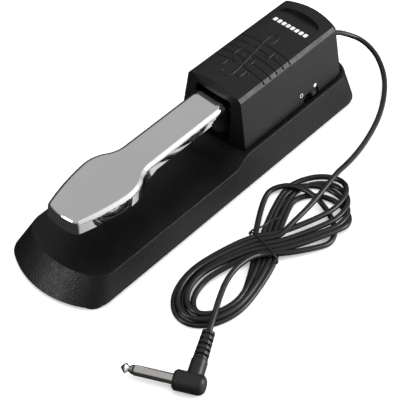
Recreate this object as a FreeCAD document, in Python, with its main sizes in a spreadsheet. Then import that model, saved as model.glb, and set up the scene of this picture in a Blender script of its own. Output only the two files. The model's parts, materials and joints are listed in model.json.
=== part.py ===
"""Sustain pedal: a sprung chrome pedal over a weighted base, with its switch, cable and jack plug.

Millimetres, +Z up, +Y towards the cable end, -Y towards the player's toe.
The origin is on the floor under the middle of the base.
"""
import FreeCAD, Part
import math
import os
import re
import Sketcher
from FreeCAD import Placement, Rotation, Vector

DIMENSIONS = [
    # base
    ("base_length", 270.0), ("base_width", 76.8), ("base_bottom", 2.5), ("rim_top", 22.0),
    ("deck_top", 17.4), ("rim_width", 62.4), ("rim_front", -116.2), ("rim_rear", 130.8),
    ("front_bow", 59.3), ("rear_bow", 96.2), ("base_corner", 15.0), ("wall", 2.6),
    ("ramp_start", 5.0), ("ramp_end", 23.0), ("ramp_bend", 18.8), ("seat_floor", 20.4),
    ("seat_gap", 0.9), ("cavity_top", 14.5), ("plate_thickness", 1.5),
    ("foot_radius", 8.0), ("foot_side", 28.0), ("foot_front", -117.0), ("foot_rear", 112.0),
    ("ballast_width", 44.0), ("ballast_length", 110.0), ("ballast_height", 6.0),
    # housing
    ("house_width", 55.7), ("house_front", 19.4), ("house_rear", 127.6), ("house_bow", 150.0),
    ("house_tail_bow", 80.0), ("house_block_top", 66.0), ("house_draft", 8.55),
    ("house_corner", 9.0), ("front_round", 1.2),
    ("crown_top", 63.9), ("crown_radius", 71.0), ("bevel", 1.9), ("ceiling", 57.6), ("inner_front", 24.4),
    ("slot_width", 30.0), ("slot_top", 56.4), ("slot_corner", 3.0),
    ("staff_first", 45.3), ("staff_pitch", 6.4), ("staff_width", 0.6), ("staff_depth", 0.6),
    ("label_front", 80.0), ("label_rear", 111.0), ("label_width", 33.0), ("label_drop", 3.3),
    ("switch_middle", 88.2), ("switch_length", 14.6), ("switch_floor", 23.0),
    ("switch_height", 4.0), ("notch_top", 27.5), ("cable_height", 27.0),
    # pedal
    ("pedal_top", 53.2), ("pedal_slope", 0.62), ("sheet_steel", 1.5),
    ("shank_width", 24.0), ("paddle_width", 40.8), ("paddle_front", -113.0), ("toe_width", 23.8),
    ("paddle_depth", 10.0), ("flange_draft", 0.9), ("shank_depth", 7.8),
    ("roll_radius", 4.2), ("flange_end", 9.0), ("roll_end", 24.0), ("tongue_end", 40.0),
    ("lever_width", 16.0), ("lever_thickness", 4.0), ("lever_front", -30.0),
    ("pivot_y", 102.0), ("pivot_drop", 8.0), ("barrel_radius", 5.0), ("bush_radius", 3.5),
    ("pin_radius", 2.5), ("pin_clearance", 0.05), ("bush_flange", 0.9),
    # spring, stops and switches
    ("spring_y", 66.0), ("spring_radius", 6.0), ("spring_wire", 0.8), ("spring_turns", 7.0),
    ("spring_foot", 22.2), ("spring_head", 46.7), ("stop_y", 30.0), ("stop_top", 40.5),
    ("push_y", 49.0), ("push_top", 37.0), ("plunger_radius", 1.6), ("plunger_top", 47.85),
    ("board_top", 23.0), ("board_thickness", 1.6),
    # cable and plug
    ("cable_radius", 1.8), ("gland_end", 141.0), ("hank_height", 7.4), ("tie_wire", 0.7),
    ("plug_x", 116.25), ("plug_y", -125.0), ("plug_height", 6.2), ("plug_radius", 6.15),
    ("plug_turn", 26.6), ("plug_tilt", 6.6), ("plug_arm", 15.3), ("plug_arm_radius", 4.9),
    ("plug_face", 11.2), ("boot_length", 19.1),
    ("jack_radius", 3.175), ("jack_length", 31.2), ("tip_length", 7.0),
    # fasteners
    ("screw_radius", 1.25), ("screw_head_radius", 2.7), ("screw_head", 1.5), ("screw_slack", 0.05),
]
ALIASES = [name for name, number in DIMENSIONS]

doc = FreeCAD.newDocument("sustain_pedal")
sheet = doc.addObject("Spreadsheet::Sheet", "sheet")
for row, (name, number) in enumerate(DIMENSIONS, start=1):
    sheet.set(f"A{row}", name)
    sheet.set(f"B{row}", str(number))
    sheet.setAlias(f"B{row}", name)
doc.recompute()

SUBPARTS = []


# ---------------------------------------------------------------- helpers

def formula(text):
    """The sheet expression for a number or for words such as 'base_width / 2'."""
    return re.sub(r"\b(" + "|".join(ALIASES) + r")\b", r"sheet.\1", str(text))


def size(text):
    """The number, in millimetres or degrees, that a formula gives."""
    found = sheet.evalExpression(formula(text))
    return float(getattr(found, "Value", found))


def bind(thing, path, text):
    thing.setExpression(path, formula(text))


def subpart(thing, label):
    """Name an object as one piece of the pedal, to be checked and exported."""
    thing.Label = label
    SUBPARTS.append(thing)
    return thing


def new_body(label):
    body = doc.addObject("PartDesign::Body", label + "_body")
    return subpart(body, label)


def sketch_on(body, name, plane, offset=0, along=None):
    """A sketch on one of the body's own origin planes, moved off along the plane's normal."""
    sketch = body.newObject("Sketcher::SketchObject", name)
    support = [feature for feature in body.Origin.OriginFeatures if feature.Role == plane][0]
    sketch.AttachmentSupport = [(support, "")]
    sketch.MapMode = "FlatFace"
    bind(sketch, "AttachmentOffset.Base.z", offset)
    if along is not None:
        bind(sketch, "AttachmentOffset.Base.y", along)
    return sketch


def arc_between(start, end, radius):
    """Arc from start to end: a positive radius turns left and a negative one turns right."""
    chord = end - start
    rise = math.sqrt(radius ** 2 - (chord.Length / 2) ** 2)
    side = math.copysign(1, radius)
    left = Vector(-chord.y, chord.x, 0).normalize()
    centre = (start + end) / 2 + left * rise * side
    first, last = (start, end) if side > 0 else (end, start)
    from_angle = math.atan2(first.y - centre.y, first.x - centre.x)
    to_angle = math.atan2(last.y - centre.y, last.x - centre.x)
    if to_angle < from_angle:
        to_angle += 2 * math.pi
    circle = Part.Circle(centre, Vector(0, 0, 1), abs(radius))
    return Part.ArcOfCircle(circle, from_angle, to_angle)


def place_point(sketch, edge, end, x, y):
    """Hold one end of an edge at the point that two formulas give."""
    for kind, text in (("DistanceX", x), ("DistanceY", y)):
        rule = sketch.addConstraint(Sketcher.Constraint(kind, -1, 1, edge, end, size(text)))
        bind(sketch, f"Constraints[{rule}]", text)


def outline(sketch, corners):
    """A closed outline: each corner is (x, y) or (x, y, radius of the arc that leaves it)."""
    points = [Vector(size(corner[0]), size(corner[1]), 0) for corner in corners]
    first_edge = sketch.GeometryCount
    joints = []
    for index, corner in enumerate(corners):
        start, end = points[index], points[(index + 1) % len(points)]
        if len(corner) == 3:
            radius = size(corner[2])
            edge = sketch.addGeometry(arc_between(start, end, radius))
            rule = sketch.addConstraint(Sketcher.Constraint("Radius", edge, abs(radius)))
            bind(sketch, f"Constraints[{rule}]", f"abs({corner[2]})")
            joints.append((edge, 1, 2) if radius > 0 else (edge, 2, 1))
        else:
            edge = sketch.addGeometry(Part.LineSegment(start, end))
            joints.append((edge, 1, 2))
    for index, (edge, start, end) in enumerate(joints):
        after, after_start, after_end = joints[(index + 1) % len(joints)]
        sketch.addConstraint(Sketcher.Constraint("Coincident", edge, end, after, after_start))
        place_point(sketch, edge, start, corners[index][0], corners[index][1])
    return first_edge


def circles(sketch, centres, radius):
    for x, y in centres:
        centre = Vector(size(x), size(y), 0)
        edge = sketch.addGeometry(Part.Circle(centre, Vector(0, 0, 1), size(radius)))
        rule = sketch.addConstraint(Sketcher.Constraint("Radius", edge, size(radius)))
        bind(sketch, f"Constraints[{rule}]", radius)
        place_point(sketch, edge, 3, x, y)


def rectangle(x_low, x_high, y_low, y_high):
    return [(x_low, y_low), (x_high, y_low), (x_high, y_high), (x_low, y_high)]


def feature(body, kind, name, sketch, **settings):
    """A PartDesign feature on a sketch: numbers and formulas are bound, other settings are set."""
    made = body.newObject("PartDesign::" + kind, name)
    made.Profile = sketch
    for key, setting in settings.items():
        if isinstance(setting, (bool, list, tuple)) or key in ("Type", "SideType"):
            setattr(made, key, setting)
        else:
            bind(made, key, setting)
    before = body.Shape.Volume if not body.Shape.isNull() else 0
    doc.recompute()
    after = made.Shape.Volume
    if kind in ("Pocket", "Groove", "SubtractiveLoft") and after >= before - 1e-6:
        raise ValueError(f"{body.Label}: {name} cuts nothing")
    if kind in ("Pad", "Revolution", "AdditiveLoft") and after <= before + 1e-6:
        raise ValueError(f"{body.Label}: {name} adds nothing")
    return made


def pad(body, name, sketch, length, **settings):
    return feature(body, "Pad", name, sketch, Length=length, **settings)


def pocket(body, name, sketch, length, **settings):
    return feature(body, "Pocket", name, sketch, Length=length, **settings)


def loft(body, name, low, high, cut=False):
    kind = "SubtractiveLoft" if cut else "AdditiveLoft"
    return feature(body, kind, name, low, Sections=[high], Ruled=True)


def turn(body, name, sketch, axis="V_Axis", cut=False):
    kind = "Groove" if cut else "Revolution"
    return feature(body, kind, name, sketch, ReferenceAxis=(sketch, [axis]), Angle=360)


def edges_where(shape, test):
    """Names of the edges whose middle point passes the test."""
    names = []
    for index, edge in enumerate(shape.Edges, start=1):
        middle = edge.valueAt((edge.FirstParameter + edge.LastParameter) / 2)
        if test(middle, edge):
            names.append(f"Edge{index}")
    return names


def dress(body, kind, name, test, amount):
    """Fillet or chamfer the tip's edges that pass the test."""
    base = body.Tip
    names = edges_where(base.Shape, test)
    if not names:
        raise ValueError(f"{body.Label}: {name} finds no edge")
    made = body.newObject("PartDesign::" + kind, name)
    made.Base = (base, names)
    bind(made, "Radius" if kind == "Fillet" else "Size", amount)
    doc.recompute()
    if "Invalid" in made.State or "Error" in made.State:
        raise ValueError(f"{body.Label}: {name} failed on {names}")
    return made


def faces_where(shape, test):
    """Names of the faces whose middle point and normal pass the test."""
    names = []
    for index, face in enumerate(shape.Faces, start=1):
        low_u, high_u, low_v, high_v = face.ParameterRange
        normal = face.normalAt((low_u + high_u) / 2, (low_v + high_v) / 2)
        if test(face.CenterOfMass, normal):
            names.append(f"Face{index}")
    return names


def draft(body, name, test, neutral_test, angle):
    """Lean the faces that pass the test inwards, hinged at the neutral face."""
    base = body.Tip
    made = body.newObject("PartDesign::Draft", name)
    made.Base = (base, faces_where(base.Shape, test))
    made.NeutralPlane = (base, faces_where(base.Shape, neutral_test))
    bind(made, "Angle", angle)
    doc.recompute()
    if "Invalid" in made.State:
        raise ValueError(f"{body.Label}: {name} failed")
    return made


def steep(edge):
    """True for an edge that runs mostly up and down."""
    span = edge.valueAt(edge.LastParameter) - edge.valueAt(edge.FirstParameter)
    return abs(span.z) > 0.7 * span.Length


def turned(label, profile, axis="V_Axis", plane="XZ_Plane"):
    """A body of revolution from one closed profile."""
    body = new_body(label)
    sketch = sketch_on(body, label + "_profile", plane)
    outline(sketch, profile)
    turn(body, label + "_turned", sketch, axis)
    return body


def put(body, x=0, y=0, z=0, rotation=None):
    """Place a body, with its position bound to the sheet."""
    if rotation is not None:
        body.Placement = Placement(Vector(0, 0, 0), rotation)
    for letter, text in (("x", x), ("y", y), ("z", z)):
        bind(body, f"Placement.Base.{letter}", text)


def bowed_end(half, end, bow, corner, sense):
    """Where a bowed end meets its corner arc and that arc meets the side; sense is + or - for Y."""
    across = f"({half}) - ({corner})"
    inner = f"(({bow}) - ({corner}))"
    along = f"sqrt({inner} ^ 2 - ({across}) ^ 2)"
    centre = f"({end} {'-' if sense == '+' else '+'} ({bow}))"
    scale = f"({bow}) / {inner}"
    return f"({across}) * {scale}", f"{centre} {sense} {along} * {scale}", f"{centre} {sense} {along}"


def bowed_outline(half, front, rear, front_bow, rear_bow, front_corner, rear_corner):
    """Straight sides, bowed front and rear, rounded corners; front and rear are the mid-line ends."""
    front_x, front_y, front_side = bowed_end(half, front, front_bow, front_corner, "-")
    rear_x, rear_y, rear_side = bowed_end(half, rear, rear_bow, rear_corner, "+")
    return [(f"-({front_x})", front_y, front_bow), (front_x, front_y, front_corner),
            (half, front_side), (half, rear_side, rear_corner),
            (rear_x, rear_y, rear_bow), (f"-({rear_x})", rear_y, rear_corner),
            (f"-({half})", rear_side), (f"-({half})", front_side, front_corner)]


def drafted(body, name, low_level, low_outline, high_level, high_outline, cut=False):
    """Loft between two outlines at two heights."""
    low = sketch_on(body, name + "_low", "XY_Plane", low_level)
    outline(low, low_outline)
    high = sketch_on(body, name + "_high", "XY_Plane", high_level)
    outline(high, high_outline)
    return loft(body, name, low, high, cut)


def screw_group(label, centres, head_bottom, shank_length, upward=True):
    """Identical pan-head screws with a cross recess: upward ones have their shank on top."""
    body = new_body(label)
    heads = sketch_on(body, label + "_heads", "XY_Plane", head_bottom)
    circles(heads, centres, "screw_head_radius")
    pad(body, label + "_head_pads", heads, "screw_head")
    shank_level = f"{head_bottom} + screw_head" if upward else head_bottom
    shanks = sketch_on(body, label + "_shanks", "XY_Plane", shank_level)
    circles(shanks, centres, "screw_radius")
    pad(body, label + "_shank_pads", shanks, shank_length, Reversed=not upward)
    recess_level = head_bottom if upward else f"{head_bottom} + screw_head"
    recess = sketch_on(body, label + "_recess", "XY_Plane", recess_level)
    arm, half = 1.3, 0.3
    for x, y in centres:
        corners = [(half, -arm), (half, -half), (arm, -half), (arm, half), (half, half), (half, arm)]
        cross = corners + [(-a, -b) for a, b in corners]
        outline(recess, [(f"{x} + {a}", f"{y} + {b}") for a, b in cross])
    pocket(body, label + "_cross", recess, 0.9, Reversed=upward)
    return body


# ---------------------------------------------------------------- base

BOTTOM_SCREWS = [(side, y) for side in (-28, 28) for y in (-70, 10, 88)]
BALLAST_SCREWS = [(0, -90), (0, -10)]
COVER_SCREWS = [(-16.2, 31), (16.2, 31), (-15.2, 111), (15.2, 111)]
BRACKET_SCREWS = [(side, y) for side in (-6, 6) for y in (90.5, 113.5)]
BOARD_SCREWS = [(18.5, 73.5), (15, 96)]
CLAMP_SCREWS = [(-6.2, 118.8), (6.2, 118.8)]


def base_shell():
    body = new_body("base_shell")
    bows = ("front_bow", "rear_bow", "base_corner", "base_corner")
    low = bowed_outline("base_width / 2", "-base_length / 2", "base_length / 2", *bows)
    high = bowed_outline("rim_width / 2", "rim_front", "rim_rear", *bows)
    drafted(body, "base_form", "base_bottom", low, "rim_top", high)
    ramp = sketch_on(body, "deck_profile", "YZ_Plane")
    ramp_middle = ("(ramp_start + ramp_end) / 2", "(deck_top + rim_top) / 2")
    outline(ramp, [(-150, "deck_top"), ("ramp_start", "deck_top", "ramp_bend"),
                   (*ramp_middle, "-ramp_bend"), ("ramp_end", "rim_top"), ("ramp_end", 30), (-150, 30)])
    pocket(body, "front_deck", ramp, 100, Midplane=True)
    dress(body, "Fillet", "deck_edge", on_deck_edge, 0.8)
    seat = sketch_on(body, "seat_outline", "XY_Plane", "rim_top")
    outline(seat, bowed_outline("house_width / 2 + seat_gap", "house_front - seat_gap",
                                "house_rear + seat_gap", "house_bow", "house_tail_bow",
                                "front_round + seat_gap", "house_corner + seat_gap"))
    pocket(body, "housing_seat", seat, "rim_top - seat_floor")
    inner_bows = ("front_bow - wall", "rear_bow - wall", "base_corner - wall", "base_corner - wall")
    inner_low = bowed_outline("base_width / 2 - wall", "-base_length / 2 + 1.35 * wall",
                              "base_length / 2 - 1.3 * wall", *inner_bows)
    inner_high = bowed_outline("base_width / 2 - 4.4 - wall", "-base_length / 2 + 15.1",
                               "base_length / 2 - 6", *inner_bows)
    drafted(body, "cavity", "base_bottom - 0.01", inner_low, "cavity_top", inner_high, cut=True)
    posts = sketch_on(body, "bottom_posts", "XY_Plane", "base_bottom + plate_thickness + 0.05")
    circles(posts, BOTTOM_SCREWS, 3.2)
    pad(body, "bottom_post_pads", posts, 11.5)
    standoffs = sketch_on(body, "board_standoffs", "XY_Plane", "seat_floor - 0.5")
    circles(standoffs, BOARD_SCREWS, 2.4)
    pad(body, "standoff_pads", standoffs, "board_top - board_thickness - seat_floor + 0.5")
    pilots = sketch_on(body, "bottom_pilots", "XY_Plane", "base_bottom")
    circles(pilots, BOTTOM_SCREWS, "screw_radius + screw_slack")
    pocket(body, "bottom_pilot_holes", pilots, 10.5, Reversed=True)
    through = sketch_on(body, "deck_holes", "XY_Plane", "rim_top + 1")
    circles(through, COVER_SCREWS + BRACKET_SCREWS + BOARD_SCREWS + CLAMP_SCREWS,
            "screw_radius + screw_slack")
    pocket(body, "deck_hole_cuts", through, 9)


def on_deck_edge(middle, edge):
    """The top edge of the front deck and of the rim, all the way round."""
    high = middle.z > size("deck_top") - 0.1
    crossing = abs(middle.x) < 20 and abs(middle.y) < 60
    return high and not crossing and edge.Length > 3


def bottom_plate():
    body = new_body("bottom_plate")
    sheet_outline = sketch_on(body, "plate_outline", "XY_Plane", "base_bottom")
    outline(sheet_outline, bowed_outline("base_width / 2 - 3.4", "-base_length / 2 + 5.6",
                                         "base_length / 2 - 4.6", "front_bow - 3.4", "rear_bow - 3.4",
                                         "base_corner - 3.4", "base_corner - 3.4"))
    pad(body, "plate", sheet_outline, "plate_thickness")
    holes = sketch_on(body, "plate_holes", "XY_Plane", "base_bottom")
    circles(holes, BOTTOM_SCREWS + BALLAST_SCREWS, "screw_radius + 0.2")
    pocket(body, "plate_hole_cuts", holes, 5, Reversed=True)


def feet():
    """Four rubber feet with a shallow suction dish."""
    for end, y in (("front", "foot_front"), ("rear", "foot_rear")):
        for hand, sign in (("left", "-"), ("right", "")):
            foot = turned(f"foot_{end}_{hand}",
                          [(0, 0.5), ("foot_radius - 2", 0.5), ("foot_radius - 1.6", 0), ("foot_radius", 0),
                           ("foot_radius - 0.5", "base_bottom"), (0, "base_bottom")])
            put(foot, sign + "foot_side", y)


def ballast_plate():
    body = new_body("ballast_plate")
    top = sketch_on(body, "ballast_outline", "XY_Plane", "base_bottom + plate_thickness")
    outline(top, rectangle("-ballast_width / 2", "ballast_width / 2",
                           "-50 - ballast_length / 2", "-50 + ballast_length / 2"))
    pad(body, "ballast_block", top, "ballast_height")
    dress(body, "Chamfer", "ballast_corners", lambda middle, edge: steep(edge), 4)
    holes = sketch_on(body, "ballast_holes", "XY_Plane", "base_bottom + plate_thickness")
    circles(holes, BALLAST_SCREWS, "screw_radius + screw_slack")
    pocket(body, "ballast_hole_cuts", holes, 20, Reversed=True)


def base_screws():
    screw_group("bottom_screws", BOTTOM_SCREWS, "base_bottom - screw_head", 9.5)
    screw_group("ballast_screws", BALLAST_SCREWS, "base_bottom - screw_head", 6)
    screw_group("cover_screws", COVER_SCREWS, "cavity_top - screw_head", 15)


# ---------------------------------------------------------------- housing

def housing_cover():
    body = new_body("housing_cover")
    plan = sketch_on(body, "cover_plan", "XY_Plane", "seat_floor")
    outline(plan, drafted_plan("house_width / 2", 5, "house_rear", "house_tail_bow", "house_corner"))
    pad(body, "cover_block", plan, "house_block_top - seat_floor")
    draft(body, "cover_draft", lambda middle, normal: abs(normal.z) < 0.5 and middle.y > 6,
          lambda middle, normal: normal.z < -0.5, "house_draft")
    bow = sketch_on(body, "front_bow_outline", "XY_Plane", "seat_floor")
    bow_side = "house_front + house_bow - sqrt(house_bow ^ 2 - 35 ^ 2)"
    outline(bow, [(-35, bow_side, "house_bow"), (35, bow_side), (35, 0), (-35, 0)])
    front = pocket(body, "front_bow_cut", bow, 60, Reversed=True)
    front.UseCustomVector = True
    front.Direction = Vector(0, -0.036, -1)
    doc.recompute()
    crown = sketch_on(body, "crown_profile", "XZ_Plane")
    crown_side = "crown_top - crown_radius + sqrt(crown_radius ^ 2 - 30 ^ 2)"
    outline(crown, [(30, crown_side, "crown_radius"), (-30, crown_side), (-30, 75), (30, 75)])
    pocket(body, "crown_cut", crown, 400, Midplane=True)
    rake = sketch_on(body, "brow_profile", "YZ_Plane")
    outline(rake, [("house_front + 0.4", "slot_top"), ("house_front + 3.8", "crown_top + 0.6"),
                   ("house_front + 3.8", 75), (0, 75), (0, "slot_top")])
    pocket(body, "brow_cut", rake, 100, Midplane=True)
    dress(body, "Chamfer", "cover_bevel", on_cover_rim, "bevel")
    core = hollow_core()
    hollow = body.newObject("PartDesign::Boolean", "hollow")
    hollow.Type = "Cut"
    hollow.setObjects([core])
    doc.recompute()
    posts = sketch_on(body, "cover_posts", "XY_Plane", "seat_floor + 0.02")
    circles(posts, COVER_SCREWS, 3)
    pad(body, "cover_post_pads", posts, "ceiling - seat_floor + 0.5")
    pilots = sketch_on(body, "cover_pilots", "XY_Plane", "seat_floor")
    circles(pilots, COVER_SCREWS, "screw_radius + screw_slack")
    pocket(body, "cover_pilot_holes", pilots, 10.5, Reversed=True)
    slot = sketch_on(body, "slot_outline", "XZ_Plane", -10)
    outline(slot, [("-slot_width / 2", 10), ("slot_width / 2", 10),
                   ("slot_width / 2", "slot_top - slot_corner", "slot_corner"),
                   ("slot_width / 2 - slot_corner", "slot_top"),
                   ("-slot_width / 2 + slot_corner", "slot_top", "slot_corner"),
                   ("-slot_width / 2", "slot_top - slot_corner")])
    pocket(body, "pedal_slot", slot, 18)
    cover_relief(body)
    cover_cut_outs(body)


def drafted_plan(half, front, rear, bow, corner):
    """Flat front, straight sides, bowed rear with rounded corners."""
    across, along, side_end = bowed_end(half, rear, bow, corner, "+")
    return [(f"-({half})", front), (half, front), (half, side_end, corner), (across, along, bow),
            (f"-({across})", along, corner), (f"-({half})", side_end)]


def hollow_core():
    """The room inside the cover, as a body of its own that the cover is cut with."""
    core = doc.addObject("PartDesign::Body", "hollow_core")
    plan = sketch_on(core, "hollow_plan", "XY_Plane", "seat_floor - 0.01")
    outline(plan, drafted_plan("house_width / 2 - wall", "inner_front", "house_rear - wall",
                               "house_tail_bow - wall", "house_corner - wall"))
    pad(core, "hollow_block", plan, "ceiling - seat_floor + 0.01")
    draft(core, "hollow_draft", lambda middle, normal: abs(normal.z) < 0.5 and middle.y > 26,
          lambda middle, normal: normal.z < -0.5, "house_draft")
    return core


def on_cover_rim(middle, edge):
    """The edge between the crowned top and the sides and rear."""
    outer = middle.z > 58 and (abs(middle.x) > 18 or middle.y > 100)
    return outer and not steep(edge) and middle.y > 24


def cover_relief(body):
    """Five staff lines across the top, their notches in both bevels, and the sloped label recess."""
    notches = sketch_on(body, "bevel_notches", "XY_Plane", 59.0)
    lines = sketch_on(body, "staff_lines", "YZ_Plane")
    for index in range(5):
        middle = f"staff_first + {index} * staff_pitch"
        low, high = f"{middle} - staff_width / 2", f"{middle} + staff_width / 2"
        outline(notches, rectangle(20.2, 26, f"{low} - 0.3", f"{high} + 0.3"))
        outline(notches, rectangle(-26, -20.2, f"{low} - 0.3", f"{high} + 0.3"))
        outline(lines, rectangle(low, high, "crown_top - staff_depth", "crown_top + 3"))
    pocket(body, "bevel_notch_cuts", notches, 8, Reversed=True)
    cutter = body.newObject("PartDesign::Groove", "staff_grooves")
    cutter.Profile = lines
    axis = lines.addGeometry(Part.LineSegment(Vector(0, size("crown_top - crown_radius"), 0),
                                              Vector(100, size("crown_top - crown_radius"), 0)), True)
    place_point(lines, axis, 1, 0, "crown_top - crown_radius")
    place_point(lines, axis, 2, 100, "crown_top - crown_radius")
    cutter.ReferenceAxis = (lines, ["Axis0"])
    cutter.Midplane = True
    cutter.Angle = 34
    doc.recompute()
    recess = sketch_on(body, "label_outline", "XY_Plane", "crown_top", "label_front")
    slope = math.degrees(math.atan2(size("label_drop"), size("label_rear - label_front")))
    recess.AttachmentOffset = Placement(recess.AttachmentOffset.Base, Rotation(Vector(1, 0, 0), -slope))
    half, deep = "label_width / 2", "label_rear - label_front"
    outline(recess, [(f"-{half}", 0), (half, 0), (half, f"{deep} - 6", 7),
                     (f"{half} - 6", f"{deep} - 0.8", 60), (f"-({half} - 6)", f"{deep} - 0.8", 7),
                     (f"-{half}", f"{deep} - 6")])
    pocket(body, "label_recess", recess, 8, Reversed=True)


def cover_cut_outs(body):
    """The switch notch in the right wall and the cable slot in the rear wall."""
    notch = sketch_on(body, "notch_outline", "YZ_Plane", 18)
    front = "switch_middle - switch_length / 2 - 0.3"
    rear = "switch_middle + switch_length / 2 + 0.3"
    outline(notch, [(front, 10), (rear, 10), (rear, "notch_top - 0.7", 0.7),
                    (f"{rear} - 0.7", "notch_top"), (f"{front} + 0.7", "notch_top", 0.7),
                    (front, "notch_top - 0.7")])
    pocket(body, "switch_notch", notch, 14, Reversed=True)
    cable_slot = sketch_on(body, "cable_slot_outline", "XZ_Plane", -122)
    outline(cable_slot, [(-4.05, 10), (4.05, 10), (4.05, "cable_height", 4.05),
                         (0, "cable_height + 4.05", 4.05), (-4.05, "cable_height")])
    pocket(body, "cable_slot", cable_slot, 12)


# ---------------------------------------------------------------- pedal

def pedal_outline(inset, rear):
    """Spoon-shaped plan of the pedal: narrow shank, flared paddle, gently bowed toe, offset inwards."""
    shank = (f"shank_width / 2 - ({inset})", -46.5)
    neck = (f"paddle_width / 2 - 4.6 - 0.77 * ({inset})", f"-58.4 + 0.64 * ({inset})")
    belly = (f"paddle_width / 2 - 0.5 - 0.97 * ({inset})", f"-76 + 0.22 * ({inset})")
    toe = (f"toe_width / 2 - ({inset})", f"paddle_front + 1.7 + ({inset})")
    flank = f"150 - ({inset})"

    def mirrored(point):
        return f"-({point[0]})", point[1]

    return [(*toe, flank), (*belly, f"25 - ({inset})"), (*neck, f"-20 - ({inset})"), shank,
            (shank[0], rear), mirrored((shank[0], rear)), (*mirrored(shank), f"-20 - ({inset})"),
            (*mirrored(neck), f"25 - ({inset})"), (*mirrored(belly), flank), (*mirrored(toe), 42)]


def pedal_plate():
    """Chromed pressing: a flat top with deep side walls, open underneath."""
    body = new_body("pedal_plate")
    drafted(body, "pedal_block", 0, pedal_outline(0, "roll_end"),
            "-paddle_depth", pedal_outline("-flange_draft", "roll_end"))
    dress(body, "Fillet", "toe_corners",
          lambda middle, edge: steep(edge) and middle.y < -105, 5)
    dress(body, "Fillet", "pedal_top_edge",
          lambda middle, edge: middle.z > -0.01 and middle.y < size("roll_end") - 0.1, "roll_radius")
    side = sketch_on(body, "shank_profile", "YZ_Plane")
    outline(side, [(-52, "-paddle_depth - 1"), (30, "-paddle_depth - 1"), (30, -5),
                   ("flange_end - 1.6", -5), ("flange_end - 1.6", "-5 - 1.2"), ("flange_end - 3", "-5 - 1.2"),
                   ("flange_end - 3", "-shank_depth"), (-44, "-shank_depth")])
    pocket(body, "shank_lower_edge", side, 100, Midplane=True)
    drafted(body, "pedal_hollow", "0.3 - roll_radius", pedal_outline("sheet_steel", "roll_end + 6"),
            "-paddle_depth - 0.5", pedal_outline("sheet_steel - flange_draft", "roll_end + 6"), cut=True)
    upper = sketch_on(body, "upper_hollow", "XY_Plane", "-sheet_steel")
    outline(upper, pedal_outline("roll_radius - 0.3", "roll_end + 6"))
    pocket(body, "upper_hollow_cut", upper, "roll_radius - sheet_steel")
    tongue = sketch_on(body, "tongue_plan", "XY_Plane", "-sheet_steel")
    outline(tongue, rectangle("-shank_width / 2 + roll_radius", "shank_width / 2 - roll_radius",
                              "roll_end - 0.5", "tongue_end"))
    pad(body, "tongue", tongue, "sheet_steel")
    seat_on_pedal(body)


def seat_on_pedal(body):
    """Pedal pieces share one frame: the flat top's plane, which falls slightly towards the toe."""
    put(body, 0, 0, "pedal_top", Rotation(Vector(1, 0, 0), size("pedal_slope")))


STUDS = [(0, -20), (0, 0)]
PIN_Y = "(pivot_y * cos(pedal_slope) + pivot_drop * sin(pedal_slope))"
PIN_Z = "(pedal_top + pivot_y * sin(pedal_slope) - pivot_drop * cos(pedal_slope))"


def lever_arm():
    body = new_body("lever_arm")
    bar = sketch_on(body, "bar_profile", "YZ_Plane")
    outline(bar, rectangle("lever_front", "pivot_y", "-sheet_steel - lever_thickness", "-sheet_steel"))
    pad(body, "bar", bar, "lever_width", Midplane=True)
    barrel = sketch_on(body, "barrel_profile", "YZ_Plane")
    circles(barrel, [("pivot_y", "-pivot_drop")], "barrel_radius")
    pad(body, "barrel", barrel, "lever_width", Midplane=True)
    bore = sketch_on(body, "barrel_bore", "YZ_Plane")
    circles(bore, [("pivot_y", "-pivot_drop")], "bush_radius + 0.02")
    pocket(body, "bore", bore, 60, Midplane=True)
    holes = sketch_on(body, "stud_holes", "XY_Plane", "-sheet_steel")
    circles(holes, STUDS, 2.05)
    pocket(body, "stud_hole_cuts", holes, 10)
    seat_on_pedal(body)


def pedal_fixings():
    """Weld studs under the pressing and the hexagon nuts that hold the lever to them."""
    studs = new_body("pedal_studs")
    plan = sketch_on(studs, "stud_plan", "XY_Plane", "-sheet_steel")
    circles(plan, STUDS, 2.0)
    pad(studs, "stud_pads", plan, "lever_thickness + 3.6", Reversed=True)
    seat_on_pedal(studs)
    nuts = new_body("pedal_nuts")
    hexagons = sketch_on(nuts, "nut_plan", "XY_Plane", "-sheet_steel - lever_thickness")
    across = 4.04
    for x, y in STUDS:
        corners = [(across * math.cos(math.radians(60 * step)), across * math.sin(math.radians(60 * step)))
                   for step in range(6)]
        outline(hexagons, [(x + a, y + b) for a, b in corners])
    pad(nuts, "nut_pads", hexagons, 2.8, Reversed=True)
    bores = sketch_on(nuts, "nut_bores", "XY_Plane", 0)
    circles(bores, STUDS, 2.02)
    pocket(nuts, "nut_bore_cuts", bores, 20)
    seat_on_pedal(nuts)


def pivot_set():
    """Flanged bushes in the lever, the pin through them and its spring clip."""
    for hand, side in (("left", 180), ("right", 0)):
        bush = turned(f"pivot_bush_{hand}",
                      [(1, "pin_radius + pin_clearance"),
                       ("lever_width / 2 + bush_flange", "pin_radius + pin_clearance"),
                       ("lever_width / 2 + bush_flange", 4.8), ("lever_width / 2", 4.8),
                       ("lever_width / 2", "bush_radius"), (1, "bush_radius")], "H_Axis", "XY_Plane")
        put(bush, 0, PIN_Y, PIN_Z, Rotation(Vector(0, 0, 1), side))
    pin = turned("pivot_pin", [(-13.2, 0), (13.2, 0), (13.2, "pin_radius - 0.3"), (12.9, "pin_radius"),
                               (-11.7, "pin_radius"), (-11.7, 4), (-13.2, 4)], "H_Axis", "XY_Plane")
    put(pin, 0, PIN_Y, PIN_Z)
    clip = turned("pin_clip", [(11.7, "pin_radius + 0.01"), (12.5, "pin_radius + 0.01"),
                               (12.5, 4.4), (11.7, 4.4)], "H_Axis", "XY_Plane")
    put(clip, 0, PIN_Y, PIN_Z)


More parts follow.
